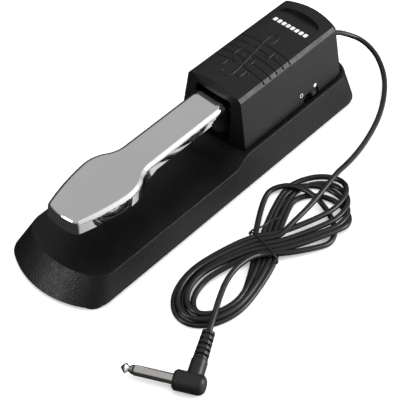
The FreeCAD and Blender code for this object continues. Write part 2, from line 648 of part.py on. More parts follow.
def pivot_bracket():
    body = new_body("pivot_bracket")
    floor = sketch_on(body, "bracket_floor", "XY_Plane", "seat_floor")
    outline(floor, rectangle(-11.5, 11.5, 87.5, 116.5))
    pad(body, "bracket_base", floor, 2)
    ears = sketch_on(body, "ear_profile", "YZ_Plane")
    outline(ears, [(93, "seat_floor"), (111, "seat_floor"), (f"{PIN_Y} + 6.5", PIN_Z, 6.5),
                   (PIN_Y, f"{PIN_Z} + 6.5", 6.5), (f"{PIN_Y} - 6.5", PIN_Z)])
    pad(body, "ear_block", ears, 23, Midplane=True)
    gap = sketch_on(body, "ear_gap", "YZ_Plane")
    outline(gap, rectangle(80, 125, "seat_floor + 2", 60))
    pocket(body, "ear_gap_cut", gap, 18.6, Midplane=True)
    bore = sketch_on(body, "ear_bore", "YZ_Plane")
    circles(bore, [(PIN_Y, PIN_Z)], "pin_radius + 0.02")
    pocket(body, "ear_bore_cut", bore, 60, Midplane=True)
    holes = sketch_on(body, "bracket_holes", "XY_Plane", "seat_floor + 2")
    circles(holes, BRACKET_SCREWS, "screw_radius + 0.2")
    pocket(body, "bracket_hole_cuts", holes, 6)
    screw_group("bracket_screws", BRACKET_SCREWS, "seat_floor + 2", 7, upward=False)


# ---------------------------------------------------------------- spring, stops and switches

def return_spring():
    """Compression spring between the base and the lever."""
    helix = doc.addObject("Part::Helix", "spring_path")
    bind(helix, "Radius", "spring_radius")
    bind(helix, "Pitch", "(spring_head - spring_foot - 2 * spring_wire) / spring_turns")
    bind(helix, "Height", "spring_head - spring_foot - 2 * spring_wire")
    wire = doc.addObject("Part::Circle", "spring_section")
    bind(wire, "Radius", "spring_wire")
    wire.Placement = Placement(Vector(size("spring_radius"), 0, 0), Rotation(Vector(1, 0, 0), 90))
    spring = doc.addObject("Part::Sweep", "return_spring_sweep")
    spring.Sections = [wire]
    spring.Spine = (helix, ["Edge1"])
    spring.Solid = True
    spring.Frenet = True
    subpart(spring, "return_spring")
    put(spring, 0, "spring_y", "spring_foot + spring_wire")


def spring_seats():
    seat = turned("spring_seat", [(0, "seat_floor"), (8.5, "seat_floor"), (8.5, "spring_foot + 1.6"),
                                  (7.5, "spring_foot + 1.6"), (7.5, "spring_foot - 0.02"),
                                  (4.6, "spring_foot - 0.02"), (4.2, 27), (0, 27)])
    put(seat, 0, "spring_y", 0)
    cap = turned("spring_cap", [(0, "-sheet_steel - lever_thickness"), (0, -12), (4.2, -12),
                                (4.6, "-sheet_steel - lever_thickness - 1.4"),
                                (7.8, "-sheet_steel - lever_thickness - 1.4"),
                                (7.8, "-sheet_steel - lever_thickness")])
    slope = Rotation(Vector(1, 0, 0), size("pedal_slope"))
    put(cap, 0, "spring_y", "pedal_top + spring_y * sin(pedal_slope)", slope)


def stops():
    """Rubber buffer under the lever and felt pad above the pressing's tongue."""
    buffer = turned("down_stop_buffer", [(0, "seat_floor"), (6.5, "seat_floor"), (6.5, "seat_floor + 2.5"),
                                         (5.2, "seat_floor + 4"), (4.5, "stop_top - 1"), (3.5, "stop_top"),
                                         (0, "stop_top")])
    put(buffer, 0, "stop_y", 0)
    pad_body = new_body("up_stop_pad")
    plan = sketch_on(pad_body, "pad_plan", "XY_Plane", "pedal_top + 0.55")
    outline(plan, rectangle(-8, 8, 27.5, 38.5))
    pad(pad_body, "felt", plan, "ceiling - pedal_top - 0.55")


def push_switch():
    """Momentary push switch under the lever: body, and the plunger that the lever presses."""
    body = new_body("push_switch_body")
    plan = sketch_on(body, "push_plan", "XY_Plane", "seat_floor")
    outline(plan, rectangle(-6, 6, "push_y - 6", "push_y + 6"))
    pad(body, "push_block", plan, "push_top - seat_floor")
    dress(body, "Chamfer", "push_corners", lambda middle, edge: steep(edge), 0.8)
    neck = sketch_on(body, "push_neck_plan", "XY_Plane", "push_top")
    circles(neck, [(0, "push_y")], 3.4)
    pad(body, "push_neck", neck, 2.6)
    bore = sketch_on(body, "push_bore", "XY_Plane", "push_top + 2.6")
    circles(bore, [(0, "push_y")], "plunger_radius + 0.05")
    pocket(body, "push_bore_cut", bore, 12)
    tags = sketch_on(body, "push_tags", "YZ_Plane")
    outline(tags, rectangle("push_y + 5.5", "push_y + 8.2", 22.2, 22.8))
    pad(body, "push_tag_block", tags, 7, Midplane=True)
    between = sketch_on(body, "tag_gap", "XY_Plane", 30)
    outline(between, rectangle(-1.5, 1.5, "push_y + 6.01", "push_y + 9"))
    pocket(body, "tag_gap_cut", between, 20)
    plunger = turned("push_switch_plunger",
                     [(0, 33.5), ("plunger_radius", 33.5), ("plunger_radius", "plunger_top - 0.8"),
                      ("plunger_radius - 0.7", "plunger_top"), (0, "plunger_top")])
    put(plunger, 0, "push_y", 0)


def circuit_board():
    body = new_body("circuit_board")
    plan = sketch_on(body, "board_plan", "XY_Plane", "board_top - board_thickness")
    outline(plan, rectangle(12.4, 24.2, 70.5, 99))
    pad(body, "board", plan, "board_thickness")
    holes = sketch_on(body, "board_holes", "XY_Plane", "board_top")
    circles(holes, BOARD_SCREWS, "screw_radius + 0.2")
    pocket(body, "board_hole_cuts", holes, 5)
    screw_group("board_screws", BOARD_SCREWS, "board_top", 5.5, upward=False)


def polarity_switch():
    """Slide switch that reverses the pedal's action, reached through the notch in the cover."""
    body = new_body("polarity_switch_body")
    plan = sketch_on(body, "slide_plan", "XY_Plane", "switch_floor")
    outline(plan, rectangle(18.8, 26.2, "switch_middle - switch_length / 2",
                            "switch_middle + switch_length / 2"))
    pad(body, "slide_block", plan, "switch_height")
    window = sketch_on(body, "slide_window", "YZ_Plane", 27)
    outline(window, rectangle("switch_middle - 4", "switch_middle + 4.4",
                              "switch_floor + 0.8", "switch_floor + 3.2"))
    pocket(body, "slide_window_cut", window, 4.5)
    knob = new_body("polarity_switch_knob")
    grip = sketch_on(knob, "grip_profile", "YZ_Plane", 23)
    outline(grip, rectangle("switch_middle + 0.4", "switch_middle + 4",
                            "switch_floor + 0.95", "switch_floor + 3.05"))
    pad(knob, "grip", grip, 5.6)
    ribs = sketch_on(knob, "grip_ribs", "XY_Plane", "switch_floor")
    for index in range(3):
        middle = f"switch_middle + 1.3 + {index} * 0.9"
        outline(ribs, [(28, middle), (29, f"{middle} - 0.3"), (29, f"{middle} + 0.3")])
    pocket(knob, "grip_rib_cuts", ribs, 6, Reversed=True)


# ---------------------------------------------------------------- cable

def path_wire(points):
    """Straight runs joined by tangent arcs, each as large as its two runs allow, and their radii."""
    edges = []
    radii = []
    here = points[0]
    for before, corner, after in zip(points, points[1:], points[2:]):
        into, out = corner - before, after - corner
        turn_angle = into.getAngle(out)
        reach = 0.45 * min(into.Length, out.Length)
        radii.append(reach / math.tan(turn_angle / 2))
        into.normalize()
        out.normalize()
        arc_start, arc_end = corner - into * reach, corner + out * reach
        to_centre = (out - into).normalize()
        centre = corner + to_centre * (radii[-1] / math.cos(turn_angle / 2))
        arc_middle = centre - to_centre * radii[-1]
        edges.append(Part.LineSegment(here, arc_start).toShape())
        edges.append(Part.Arc(arc_start, arc_middle, arc_end).toShape())
        here = arc_end
    edges.append(Part.LineSegment(here, points[-1]).toShape())
    return Part.Wire(edges), radii


def tube_along(points, radius):
    """Solid tube along a route, checked against its section times its length."""
    route = [Vector(*point) for point in points]
    wire, radii = path_wire(route)
    start = Part.Wire(Part.Circle(route[0], route[1] - route[0], radius).toShape())
    tube = wire.makePipeShell([start], True, False)
    expected = math.pi * radius ** 2 * wire.Length
    if abs(tube.Volume / expected - 1) > 0.02:
        raise ValueError("a tube's volume is not its section times its length")
    return tube, wire.Length, radii


def tube_subpart(label, points, radius):
    tube, length, radii = tube_along(points, radius)
    made = doc.addObject("Part::Feature", label + "_tube")
    made.Shape = tube
    made.Placement = Placement()
    print(f"{label}: length {length:.1f}, radii", [round(bend, 1) for bend in radii])
    return subpart(made, label)


CORD_ROUTE = [(0, 141, 27), (0, 148.5, 27), (4.2, 158.6, 21.5), (12.5, 166, 16), (25.2, 165.8, 10),
              (37.2, 158.8, 5.2), (46.8, 149.2, 2.4), (56.2, 134.5, 1.9), (63, 119.5, 1.85),
              (68.4, 101.2, 1.85), (71.7, 84.5, 2.4), (74.6, 68, 6.2), (76.8, 56.5, 11), (79, 44, 11.6),
              (81, 30, 10.8), (82, 17, 9.8), (82, 4, 8.4), (81.8, -9, 5.2)]
TAIL_ROUTE = [(82.6, -26, 5.5), (80.9, -36, 9.2), (80.8, -48, 10.4), (83.6, -60, 10.8), (88.8, -71.3, 11.4),
              (95.1, -82.8, 11.66), (100.93, -94.41, 10.16)]


def cable():
    """Cable from the gland to the hank, the hank, its tie, and the last stretch to the plug."""
    tube_subpart("cord_tube", CORD_ROUTE, size("cable_radius"))
    tube_subpart("cord_tail", TAIL_ROUTE, size("cable_radius"))
    hank = new_body("cord_hank")
    plan = sketch_on(hank, "hank_plan", "XY_Plane", 0.05)
    outline(plan, [(69, -19), (54, -42), (53, -68, 25.6), (78, -93.6, 25.6), (103.6, -68), (101, -42),
                   (91, -19), (103, 8), (104, 30, 26), (78, 56, 26), (52, 30), (54, 8)])
    outline(plan, [(78, -36), (67.5, -52), (66, -67, 12.5), (78.5, -79.5, 12.5), (91, -67), (89, -52)])
    outline(plan, [(79, -3), (91, 12), (92, 30, 14), (78, 44, 14), (64, 30), (67, 12)])
    pad(hank, "hank_block", plan, "hank_height")
    tie_points = [(79, -18.6, 0.75), (69.5, -17.6, 0.75), (67.6, -17.2, 4), (69.5, -17.4, 8.3),
                  (80, -18.6, 8.4), (91.5, -21.4, 8.3), (93.4, -22, 4), (91.5, -21.6, 0.75),
                  (82.5, -19.6, 0.75)]
    tube_subpart("cord_tie", tie_points, size("tie_wire"))


def cable_entry():
    """Rubber gland in the rear wall, the cable inside it, and the saddle that clamps the cable."""
    gland = turned("cable_gland",
                   [("cable_radius + 0.02", 121.2), (5.2, 121.2), (5.2, 122.8), (3.95, 122.8), (3.95, 128.2),
                    (4.9, 128.6), (4.9, 130.4), (4.2, 131.4), ("cable_radius + 0.9", "gland_end"),
                    ("cable_radius + 0.02", "gland_end")], "V_Axis", "XY_Plane")
    put(gland, 0, 0, "cable_height")
    inner = turned("cable_inner", [(0, 116.8), ("cable_radius", 116.8), ("cable_radius", "gland_end"),
                                   (0, "gland_end")], "V_Axis", "XY_Plane")
    put(inner, 0, 0, "cable_height")
    clamp = new_body("cable_clamp")
    plan = sketch_on(clamp, "clamp_plan", "XY_Plane", "seat_floor")
    outline(plan, rectangle(-9, 9, 116.7, 120.9))
    pad(clamp, "clamp_block", plan, 9.6)
    bore = sketch_on(clamp, "clamp_bore", "XZ_Plane", -110)
    circles(bore, [(0, "cable_height")], "cable_radius + 0.02")
    pocket(clamp, "clamp_bore_cut", bore, 20)
    holes = sketch_on(clamp, "clamp_holes", "XY_Plane", 32)
    circles(holes, CLAMP_SCREWS, "screw_radius + 0.1")
    pocket(clamp, "clamp_hole_cuts", holes, 20)
    screw_group("clamp_screws", CLAMP_SCREWS, "seat_floor + 9.6", 15, upward=False)


def signal_wires():
    """Insulated wires from the cable and from the push switch to the board."""
    routes = {
        "cable_wire_a": [(0.8, 116.78, 27), (0.8, 115, 27), (5, 113.8, 27), (10.5, 115.3, 26.4),
                         (15.4, 116.4, 26), (20.6, 113.6, 25.8), (21.2, 105, 25), (20.4, 97.6, 23.6)],
        "cable_wire_b": [(-0.8, 116.78, 27.6), (-0.8, 115.2, 27.6), (3, 113.2, 29.2), (10.5, 114.9, 28.6),
                         (15.4, 116.2, 28.2), (21.2, 113.4, 27.8), (22.8, 104.5, 26.8), (22.6, 97.6, 23.6)],
        "switch_wire_a": [(2.6, 56.4, 23.4), (3.4, 56.7, 25.2), (11, 60, 25), (13.8, 70, 24.8),
                          (14.4, 79, 23.6)],
        "switch_wire_b": [(-2.6, 56.4, 23.4), (-1.8, 56.7, 26.4), (7.5, 58, 26.8), (13.4, 65, 26.4),
                          (15.2, 76, 25.8), (16, 83, 23.6)],
    }
    for label, points in routes.items():
        tube_subpart(label, points, 0.5)


# ---------------------------------------------------------------- plug

def seat_on_plug(body):
    """Plug pieces share one frame: jack along -X, cable boot along +Y, tilted up over the coil."""
    put(body, "plug_x", "plug_y", "plug_height",
        Rotation(size("plug_turn"), 0, size("plug_tilt")))


def plug_body():
    body = new_body("plug_body")
    barrel = sketch_on(body, "barrel_section", "XY_Plane")
    outline(barrel, [("-plug_face", 0), (7.9, 0), (7.9, 2.2, 4.4), (3.4, "plug_radius"),
                     ("-plug_face + 1.4", "plug_radius"), ("-plug_face", "plug_radius - 1.2")])
    turn(body, "barrel_turned", barrel, "H_Axis")
    arm = sketch_on(body, "arm_section", "XY_Plane")
    outline(arm, [(0, 0), ("plug_arm_radius + 0.1", 0), ("plug_arm_radius", "plug_arm - 0.6"),
                  ("plug_arm_radius - 0.6", "plug_arm"), (0, "plug_arm")])
    turn(body, "arm_turned", arm)
    seat_on_plug(body)


def plug_boot():
    """Ribbed strain relief: stacked collars joined by webs that alternate by a quarter turn."""
    body = new_body("plug_boot")
    core = sketch_on(body, "boot_section", "XY_Plane")
    end = "plug_arm + boot_length"
    outline(core, [(0, "plug_arm"), (4.5, "plug_arm"), (3.9, end), (0, end)])
    turn(body, "boot_turned", core)
    cuts = sketch_on(body, "boot_grooves", "XY_Plane")
    for index in range(5):
        low = f"plug_arm + 1.6 + {index} * 3.5"
        outline(cuts, [(2.7, low), (6, low), (6, f"{low} + 1.5"), (2.7, f"{low} + 1.5")])
    turn(body, "boot_groove_cuts", cuts, cut=True)
    webs = sketch_on(body, "boot_webs", "XY_Plane")
    for index in (0, 2, 4):
        low = f"plug_arm + 1.5 + {index} * 3.5"
        outline(webs, rectangle(-3.7, 3.7, low, f"{low} + 1.7"))
    pad(body, "boot_web_pads", webs, 2.4, Midplane=True)
    cross_webs = sketch_on(body, "boot_cross_webs", "YZ_Plane")
    for index in (1, 3):
        low = f"plug_arm + 1.5 + {index} * 3.5"
        outline(cross_webs, rectangle(low, f"{low} + 1.7", -3.7, 3.7))
    pad(body, "boot_cross_web_pads", cross_webs, 2.4, Midplane=True)
    seat_on_plug(body)


def jack():
    """Two-contact phone jack: sleeve, insulating ring and tip."""
    tip_start = "-plug_face - jack_length + tip_length"
    sleeve_end = f"{tip_start} + 1"
    sleeve = turned("jack_sleeve", [("-plug_face", 0), ("-plug_face", "jack_radius"),
                                    (f"{sleeve_end} + 0.3", "jack_radius"),
                                    (sleeve_end, "jack_radius - 0.3"), (sleeve_end, 0)],
                    "H_Axis", "XY_Plane")
    seat_on_plug(sleeve)
    ring = turned("jack_insulator", [(sleeve_end, 0), (sleeve_end, 2.85), (tip_start, 2.85),
                                     (tip_start, 0)], "H_Axis", "XY_Plane")
    seat_on_plug(ring)
    tip = turned("jack_tip", [(tip_start, 0), (tip_start, 2.65), (f"{tip_start} - 0.5", 2.65),
                              (f"{tip_start} - 2", 1.75), (f"{tip_start} - 2.6", 1.75),
                              (f"{tip_start} - 4", 3.05), (f"{tip_start} - 4.6", 3.05),
                              (f"{tip_start} - 6.6", 0.9), (f"{tip_start} - tip_length", 0.4),
                              (f"{tip_start} - tip_length", 0)], "H_Axis", "XY_Plane")
    seat_on_plug(tip)


# ---------------------------------------------------------------- build, check and export

def check_document():
    """Stop if any object failed or any piece is empty or broken."""
    for item in doc.Objects:
        if "Invalid" in item.State or "Error" in item.State:
            raise ValueError(f"{item.Label} failed: {item.State}")
    for piece in SUBPARTS:
        if piece.Shape.isNull() or not piece.Shape.isValid() or piece.Shape.Volume <= 0:
            raise ValueError(f"{piece.Label} has no valid solid")


def export_parts():
    os.makedirs("parts", exist_ok=True)
    for piece in SUBPARTS:
        piece.Shape.exportStep(f"parts/{piece.Label}.step")


for build in (base_shell, bottom_plate, feet, ballast_plate, base_screws, housing_cover, pedal_plate,
              lever_arm, pedal_fixings, pivot_set, pivot_bracket, return_spring, spring_seats, stops,
              push_switch, circuit_board, polarity_switch, cable, cable_entry, signal_wires, plug_body,
              plug_boot, jack):
    build()
doc.recompute()
check_document()
export_parts()
print(len(SUBPARTS), "pieces")
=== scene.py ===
"""Sustain pedal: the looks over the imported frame.

Camera, materials, cable, return spring, relief, printing, floor and lights. Sizes and places are in
millimetres, turned into Blender's metres by MM; the camera's distance, the floor and the lights, which
belong to the studio, are in metres.
"""
import json
import math
import bmesh
import bpy
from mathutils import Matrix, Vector


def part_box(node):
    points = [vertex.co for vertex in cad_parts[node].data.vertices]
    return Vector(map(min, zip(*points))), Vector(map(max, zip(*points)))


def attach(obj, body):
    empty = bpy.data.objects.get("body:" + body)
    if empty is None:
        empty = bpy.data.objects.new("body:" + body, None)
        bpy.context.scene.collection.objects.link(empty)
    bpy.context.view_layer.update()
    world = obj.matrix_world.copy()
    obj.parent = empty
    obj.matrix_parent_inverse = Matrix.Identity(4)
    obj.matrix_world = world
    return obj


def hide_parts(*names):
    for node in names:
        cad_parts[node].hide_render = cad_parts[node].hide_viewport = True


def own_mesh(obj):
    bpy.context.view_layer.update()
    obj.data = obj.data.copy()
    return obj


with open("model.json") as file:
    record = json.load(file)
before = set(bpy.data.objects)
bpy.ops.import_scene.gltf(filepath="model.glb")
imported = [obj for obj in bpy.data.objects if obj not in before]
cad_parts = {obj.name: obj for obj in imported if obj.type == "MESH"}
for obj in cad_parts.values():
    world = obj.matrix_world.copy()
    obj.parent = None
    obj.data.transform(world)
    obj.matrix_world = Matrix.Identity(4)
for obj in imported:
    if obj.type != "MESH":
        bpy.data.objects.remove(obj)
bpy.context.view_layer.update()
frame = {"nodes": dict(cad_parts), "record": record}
MM = 0.001


# ---------------------------------------------------------------- camera

def add_camera():
    """Three-quarter view from the right of the toe, a little above 45 degrees."""
    azimuth, elevation = math.radians(42.28), math.radians(47.61)
    target, distance = Vector((21.44, -14.51, 0)) * MM, 0.859
    sensor_width, focal_length = 36, 120.9
    back = Vector((math.sin(azimuth) * math.cos(elevation),
                   -math.cos(azimuth) * math.cos(elevation), math.sin(elevation)))
    data = bpy.data.cameras.new("camera")
    data.sensor_width = sensor_width
    data.lens = focal_length
    camera = bpy.data.objects.new("camera", data)
    camera.location = target + back * distance
    camera.rotation_mode = "QUATERNION"
    camera.rotation_quaternion = (-back).to_track_quat("-Z", "Y")
    bpy.context.collection.objects.link(camera)
    bpy.context.scene.camera = camera


add_camera()


# ---------------------------------------------------------------- materials

def nodes_of(name):
    """A new material with its shader, and the object-space coordinates that its textures use."""
    material = bpy.data.materials.new(name)
    material.use_nodes = True
    tree = material.node_tree
    shader = tree.nodes["Principled BSDF"]
    place = tree.nodes.new("ShaderNodeTexCoord").outputs["Object"]
    return material, tree, shader, place


def noise(tree, place, scale, detail=3, stretch=(1, 1, 1)):
    """Noise of a given number of features to the metre, stretched along an axis where asked."""
    mapping = tree.nodes.new("ShaderNodeMapping")
    mapping.inputs["Scale"].default_value = stretch
    tree.links.new(place, mapping.inputs["Vector"])
    texture = tree.nodes.new("ShaderNodeTexNoise")
    texture.inputs["Scale"].default_value = scale
    texture.inputs["Detail"].default_value = detail
    tree.links.new(mapping.outputs[0], texture.inputs["Vector"])
    return texture.outputs["Fac"]


def pebbles(tree, place, scale):
    """Rounded cells, as in moulded leather grain."""
    texture = tree.nodes.new("ShaderNodeTexVoronoi")
    texture.feature = "SMOOTH_F1"
    texture.inputs["Scale"].default_value = scale
    tree.links.new(place, texture.inputs["Vector"])
    return texture.outputs["Distance"]


def remap(tree, source, low, high, start=0.3, end=0.7):
    """A factor spread from low to high over the middle of its range."""
    spread = tree.nodes.new("ShaderNodeMapRange")
    spread.inputs["From Min"].default_value = start
    spread.inputs["From Max"].default_value = end
    spread.inputs["To Min"].default_value = low
    spread.inputs["To Max"].default_value = high
    tree.links.new(source, spread.inputs["Value"])
    return spread.outputs["Result"]


def blend_colours(tree, factor, first, second):
    """A colour that goes from the first to the second as the factor goes from 0 to 1."""
    mix = tree.nodes.new("ShaderNodeMix")
    mix.data_type = "RGBA"
    mix.inputs["A"].default_value = (*first, 1)
    mix.inputs["B"].default_value = (*second, 1)
    tree.links.new(factor, mix.inputs["Factor"])
    return mix.outputs["Result"]


def bump(tree, height, depth, strength=1.0, under=None):
    """Surface relief of a depth in metres, laid over the relief under it where there is one."""
    made = tree.nodes.new("ShaderNodeBump")
    made.inputs["Distance"].default_value = depth
    made.inputs["Strength"].default_value = strength
    tree.links.new(height, made.inputs["Height"])
    if under is not None:
        tree.links.new(under, made.inputs["Normal"])
    return made.outputs["Normal"]


def plastic(name, colour, roughness, specular=0.35, grain=900, depth=0.05, pebble=None, worn=1.25):
    """Moulded plastic or rubber: a slightly mottled colour, uneven gloss and a fine moulded grain.

    The grain has so many features to the metre and a depth in millimetres; pebble is the same pair for
    coarser cells over it. The mottling goes from the colour to worn times the colour.
    """
    material, tree, shader, place = nodes_of(name)
    mottle = remap(tree, noise(tree, place, scale=45, detail=5), low=0, high=1)
    tree.links.new(blend_colours(tree, mottle, colour, [part * worn for part in colour]),
                   shader.inputs["Base Color"])
    gloss = noise(tree, place, scale=160, detail=6)
    tree.links.new(remap(tree, gloss, low=roughness - 0.05, high=roughness + 0.06),
                   shader.inputs["Roughness"])
    shader.inputs["Specular IOR Level"].default_value = specular
    normal = bump(tree, noise(tree, place, grain, detail=4), depth * MM)
    if pebble:
        cells, cell_depth = pebble
        normal = bump(tree, pebbles(tree, place, cells), cell_depth * MM, strength=0.9, under=normal)
    tree.links.new(normal, shader.inputs["Normal"])
    return material


def metal(name, colour, roughness, streaks=None, scratch=0.02):
    """Plated or drawn metal: handling marks in the gloss, and fine streaks along an axis where asked.

    Streaks scale the texture along each axis, so a small factor draws them out; scratch is their depth
    in millimetres.
    """
    material, tree, shader, place = nodes_of(name)
    stretch, dulled = streaks or (1, 1, 1), 0.94
    shader.inputs["Metallic"].default_value = 1
    haze = remap(tree, noise(tree, place, scale=25, detail=6), low=0, high=1, start=0.35, end=0.75)
    tree.links.new(blend_colours(tree, haze, colour, [part * dulled for part in colour]),
                   shader.inputs["Base Color"])
    fine = noise(tree, place, scale=260, detail=3, stretch=stretch)
    tree.links.new(remap(tree, fine, low=roughness, high=roughness + 0.07, start=0.4, end=0.8),
                   shader.inputs["Roughness"])
    marks = noise(tree, place, scale=700, detail=2, stretch=stretch)
    tree.links.new(bump(tree, marks, scratch * MM, strength=0.25), shader.inputs["Normal"])
    return material


def base_plastic():
    """Black moulding: smooth satin on the deck, leather-like pebbled grain on the sloping walls."""
    material, tree, shader, place = nodes_of("base_plastic")
    normal_in = tree.nodes.new("ShaderNodeNewGeometry").outputs["Normal"]
    split = tree.nodes.new("ShaderNodeSeparateXYZ")
    tree.links.new(normal_in, split.inputs[0])
    wall = remap(tree, split.outputs["Z"], low=1, high=0, start=0.72, end=0.93)
    mottle = remap(tree, noise(tree, place, scale=70, detail=5), low=0, high=1)
    tree.links.new(blend_colours(tree, mottle, (0.0022, 0.0022, 0.0024), (0.004, 0.004, 0.0043)),
                   shader.inputs["Base Color"])
    tree.links.new(remap(tree, noise(tree, place, scale=300, detail=5), low=0.36, high=0.5),
                   shader.inputs["Roughness"])
    shader.inputs["Specular IOR Level"].default_value = 0.3
    grain = tree.nodes.new("ShaderNodeMath")
    grain.operation = "MULTIPLY"
    tree.links.new(pebbles(tree, place, scale=850), grain.inputs[0])
    tree.links.new(wall, grain.inputs[1])
    fine = bump(tree, noise(tree, place, scale=1500, detail=3), depth=0.03 * MM, strength=0.6)
    tree.links.new(bump(tree, grain.outputs[0], depth=0.17 * MM, strength=0.9, under=fine),
                   shader.inputs["Normal"])
    return material


def felt():
    """Grey pressed felt, its fibres lying flat."""
    material, tree, shader, place = nodes_of("stop_felt")
    fibres = noise(tree, place, scale=900, detail=6, stretch=(1, 1, 4))
    tree.links.new(blend_colours(tree, fibres, (0.05, 0.05, 0.055), (0.2, 0.2, 0.21)),
                   shader.inputs["Base Color"])
    shader.inputs["Roughness"].default_value = 0.95
    shader.inputs["Sheen Weight"].default_value = 0.4
    tree.links.new(bump(tree, fibres, depth=0.3 * MM), shader.inputs["Normal"])
    return material


def laminate():
    """Dark green circuit board with tracks under the varnish."""
    material, tree, shader, place = nodes_of("board")
    tracks = tree.nodes.new("ShaderNodeTexBrick")
    tracks.inputs["Scale"].default_value = 300
    tracks.inputs["Mortar Size"].default_value = 0.12
    tracks.inputs["Color1"].default_value = (0.004, 0.012, 0.007, 1)
    tracks.inputs["Color2"].default_value = (0.005, 0.015, 0.009, 1)
    tracks.inputs["Mortar"].default_value = (0.012, 0.035, 0.02, 1)
    tree.links.new(place, tracks.inputs["Vector"])
    tree.links.new(tracks.outputs["Color"], shader.inputs["Base Color"])
    tree.links.new(remap(tree, noise(tree, place, scale=300), low=0.3, high=0.45),
                   shader.inputs["Roughness"])
    tree.links.new(bump(tree, tracks.outputs["Fac"], depth=0.04 * MM), shader.inputs["Normal"])
    return material


# One material to each slot. A plastic's numbers are its roughness, specular level, grain to the metre and
# grain depth; a metal's is its roughness.
MATERIALS = {
    "base_plastic": base_plastic(),
    "plate_steel": plastic("plate_steel", (0.018, 0.018, 0.019), 0.55, 0.4, 1400, 0.04),
    "foot_rubber": plastic("foot_rubber", (0.02, 0.02, 0.021), 0.72, 0.25, 900, 0.06),
    "ballast_iron": plastic("ballast_iron", (0.11, 0.1, 0.095), 0.7, 0.5, 500, 0.3, worn=0.6),
    "screw_steel": metal("screw_steel", (0.42, 0.42, 0.43), 0.28),
    "housing_plastic": plastic("housing_plastic", (0.0045, 0.0045, 0.0048), 0.4, 0.4, 1300, 0.045,
                               pebble=(1100, 0.05)),
    "pedal_chrome": metal("pedal_chrome", (0.8, 0.8, 0.81), 0.035, scratch=0.003),
    "lever_steel": metal("lever_steel", (0.45, 0.45, 0.46), 0.3, streaks=(1, 0.08, 1)),
    "nylon": plastic("nylon", (0.62, 0.6, 0.54), 0.45, 0.5, 700, 0.03, worn=0.92),
    "spring_steel": metal("spring_steel", (0.5, 0.5, 0.51), 0.2),
    "buffer_rubber": plastic("buffer_rubber", (0.02, 0.02, 0.02), 0.8, 0.25, 800, 0.08),
    "stop_felt": felt(),
    "switch_plastic": plastic("switch_plastic", (0.015, 0.015, 0.016), 0.5, 0.45, 1500, 0.03),
    "plunger_plastic": plastic("plunger_plastic", (0.5, 0.47, 0.4), 0.4, 0.5, 1200, 0.02, worn=0.9),
    "board": laminate(),
    "slide_metal": metal("slide_metal", (0.12, 0.12, 0.125), 0.35),
    "knob_plastic": plastic("knob_plastic", (0.03, 0.03, 0.031), 0.5, 0.45, 1500, 0.02),
    "cord_rubber": plastic("cord_rubber", (0.006, 0.006, 0.0063), 0.3, 0.5, 600, 0.02, worn=1.15),
    "tie_plastic": plastic("tie_plastic", (0.006, 0.006, 0.006), 0.35, 0.5, 900, 0.02),
    "plug_plastic": plastic("plug_plastic", (0.006, 0.006, 0.0063), 0.38, 0.5, 800, 0.04),
    "jack_metal": metal("jack_metal", (0.78, 0.76, 0.73), 0.1),
    "jack_ring": plastic("jack_ring", (0.01, 0.01, 0.01), 0.3, 0.5, 900, 0.02),
    "wire_red": plastic("wire_red", (0.4, 0.02, 0.015), 0.35, 0.5, 900, 0.01, worn=0.9),
    "wire_black": plastic("wire_black", (0.015, 0.015, 0.015), 0.35, 0.5, 900, 0.01),
    "print_white": plastic("print_white", (0.72, 0.72, 0.71), 0.5, 0.4, 2000, 0.02, worn=0.93),
}


def finish_frame():
    """Every CAD node gets its slot's procedural material."""
    for entry in frame["record"]["subparts"]:
        node = frame["nodes"][entry["node"]]
        if not node.material_slots:
            node.data.materials.append(None)
        for slot in node.material_slots:
            slot.material = MATERIALS[entry["material_slot"]]


finish_frame()


# ---------------------------------------------------------------- cable

CORD_RADIUS = 1.8
LAYER = 3.6             # height of a strand that lies across another
GROOVE = 3.1            # height of a strand that lies in the groove between two others

# From the gland to the hank's waist, and from the waist to the plug's boot.
CORD_ROUTE = [(0, 141, 27), (0.2, 147, 26.2), (4.2, 157, 20.2), (12.3, 164.8, 14.6), (24.6, 165, 9.2),
              (36.6, 158.4, 4.8), (45.8, 148.8, 2.3), (55, 134.2, 1.85), (62, 119.2, 1.85),
              (67.6, 101.2, 1.85), (71.2, 84.5, 2.3), (74.4, 68, 6), (76.8, 56.5, 10.6), (79, 44, 11.2),
              (81, 30, 10.4), (82, 17, 9.6), (82, 4, 8.4), (81.8, -9, 5.2)]
TAIL_ROUTE = [(82.6, -26, 5.5), (80.9, -36, 9.2), (80.8, -48, 10.4), (83.6, -60, 10.8),
              (88.8, -71.3, 11.4), (95.1, -82.8, 11.66), (100.93, -94.41, 10.16)]

# The hank's waist, where its strands cross in two layers inside the tie: its middle, the strands' slant,
# half the length of a crossing, the strands' spacing, and the last point before the last run.
WAIST = Vector((80.3, -19.2, 0))
WAIST_SLANT_X, WAIST_SLANT_Y = 0.68, 0.73
WAIST_REACH = 8
STRAND = 3.5
WAIST_END = Vector((93.5, -15.5, CORD_RADIUS + LAYER))

# Each loop has eight points over 220 degrees, drawn larger than it is because the spline cuts corners.
LOOP_POINTS, LOOP_SWEEP, LOOP_SWELL = 8, 220, 1.04
LOWER_MIDDLE_X, LOWER_MIDDLE_Y = 81, -63.5

